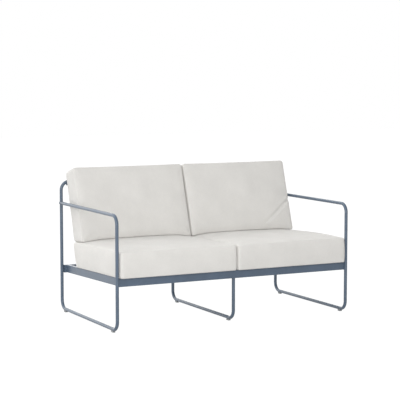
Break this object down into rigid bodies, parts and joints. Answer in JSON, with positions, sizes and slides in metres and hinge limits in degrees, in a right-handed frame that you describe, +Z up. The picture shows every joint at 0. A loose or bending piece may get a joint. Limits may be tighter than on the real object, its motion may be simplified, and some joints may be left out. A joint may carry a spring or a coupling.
{
  "type": "patio loveseat",
  "caption": "Patio loveseat: bent-tube frame on loop legs, sloping box-rail seat, slatted leaning back, and loose boxed cushions with zips.",
  "frame": {"origin": "on the floor, in the middle of the footprint (bounding box bottom centre)", "axes": "+X to the right of someone facing the loveseat, along its width; +Y to its back; +Z up"},
  "size_m": [1.479, 0.8492, 0.8525],
  "materials": {
    "frame_paint": "fine satin powder coat, slate blue-grey",
    "cap_plastic": "smooth moulded plastic in the frame's colour",
    "glide_plastic": "mid grey moulded plastic, scuffed underneath",
    "screw_steel": "zinc-plated steel",
    "cushion_fabric": "off-white woven outdoor cloth with a matt surface",
    "cushion_foam": "open-cell foam",
    "zip_tape": "woven tape with a nylon coil",
    "zip_metal": "nickel-plated slider with its pull"
  },
  "bodies": {
    "frame": {"left_side_tube": "frame_paint", "right_side_tube": "frame_paint", "left_arm_cap": "cap_plastic", "right_arm_cap": "cap_plastic", "back_top_tube": "frame_paint", "left_back_spigot": "screw_steel", "right_back_spigot": "screw_steel", "spigot_screws": "screw_steel", "middle_leg_loop": "frame_paint", "middle_leg_plugs": "cap_plastic", "middle_leg_bolts": "screw_steel", "middle_leg_nuts": "screw_steel", "seat_front_rail": "frame_paint", "seat_rear_rail": "frame_paint", "seat_left_rail": "frame_paint", "seat_right_rail": "frame_paint", "seat_centre_bar": "frame_paint", "seat_slat_1": "frame_paint", "seat_slat_2": "frame_paint", "seat_slat_3": "frame_paint", "seat_slat_4": "frame_paint", "seat_slat_5": "frame_paint", "seat_slat_6": "frame_paint", "back_top_bar": "frame_paint", "back_lower_rail": "frame_paint", "back_slat_1": "frame_paint", "back_slat_2": "frame_paint", "back_slat_3": "frame_paint", "back_slat_4": "frame_paint", "back_slat_5": "frame_paint", "back_slat_6": "frame_paint", "left_front_glide": "glide_plastic", "left_rear_glide": "glide_plastic", "middle_front_glide": "glide_plastic", "middle_rear_glide": "glide_plastic", "right_front_glide": "glide_plastic", "right_rear_glide": "glide_plastic", "glide_screws": "screw_steel"},
    "left_seat_cushion": {"left_seat_cover": "cushion_fabric", "left_seat_foam": "cushion_foam", "left_seat_zip": "zip_tape"},
    "left_seat_zip_pull": {"left_seat_zip_slider": "zip_metal"},
    "right_seat_cushion": {"right_seat_cover": "cushion_fabric", "right_seat_foam": "cushion_foam", "right_seat_zip": "zip_tape"},
    "right_seat_zip_pull": {"right_seat_zip_slider": "zip_metal"},
    "left_back_cushion": {"left_back_cover": "cushion_fabric", "left_back_foam": "cushion_foam", "left_back_zip": "zip_tape"},
    "left_back_zip_pull": {"left_back_zip_slider": "zip_metal"},
    "right_back_cushion": {"right_back_cover": "cushion_fabric", "right_back_foam": "cushion_foam", "right_back_zip": "zip_tape"},
    "right_back_zip_pull": {"right_back_zip_slider": "zip_metal"}
  },
  "joints": [
    {"name": "left_seat_slide", "type": "slide", "parent": "frame", "child": "left_seat_cushion", "axis": [0, -0.9995, 0.0314], "range_m": [0, 0.15]},
    {"name": "left_seat_zip_run", "type": "slide", "parent": "left_seat_cushion", "child": "left_seat_zip_pull", "axis": [1, 0, 0], "range_m": [0, 0.569]},
    {"name": "right_seat_slide", "type": "slide", "parent": "frame", "child": "right_seat_cushion", "axis": [0, -0.9995, 0.0314], "range_m": [0, 0.15]},
    {"name": "right_seat_zip_run", "type": "slide", "parent": "right_seat_cushion", "child": "right_seat_zip_pull", "axis": [1, 0, 0], "range_m": [0, 0.569]},
    {"name": "left_back_lift", "type": "slide", "parent": "frame", "child": "left_back_cushion", "axis": [0, 0.3024, 0.9532], "range_m": [0, 0.3]},
    {"name": "left_back_zip_run", "type": "slide", "parent": "left_back_cushion", "child": "left_back_zip_pull", "axis": [1, 0, 0], "range_m": [0, 0.558]},
    {"name": "right_back_lift", "type": "slide", "parent": "frame", "child": "right_back_cushion", "axis": [0, 0.3024, 0.9532], "range_m": [0, 0.3]},
    {"name": "right_back_zip_run", "type": "slide", "parent": "right_back_cushion", "child": "right_back_zip_pull", "axis": [1, 0, 0], "range_m": [0, 0.558]}
  ]
}
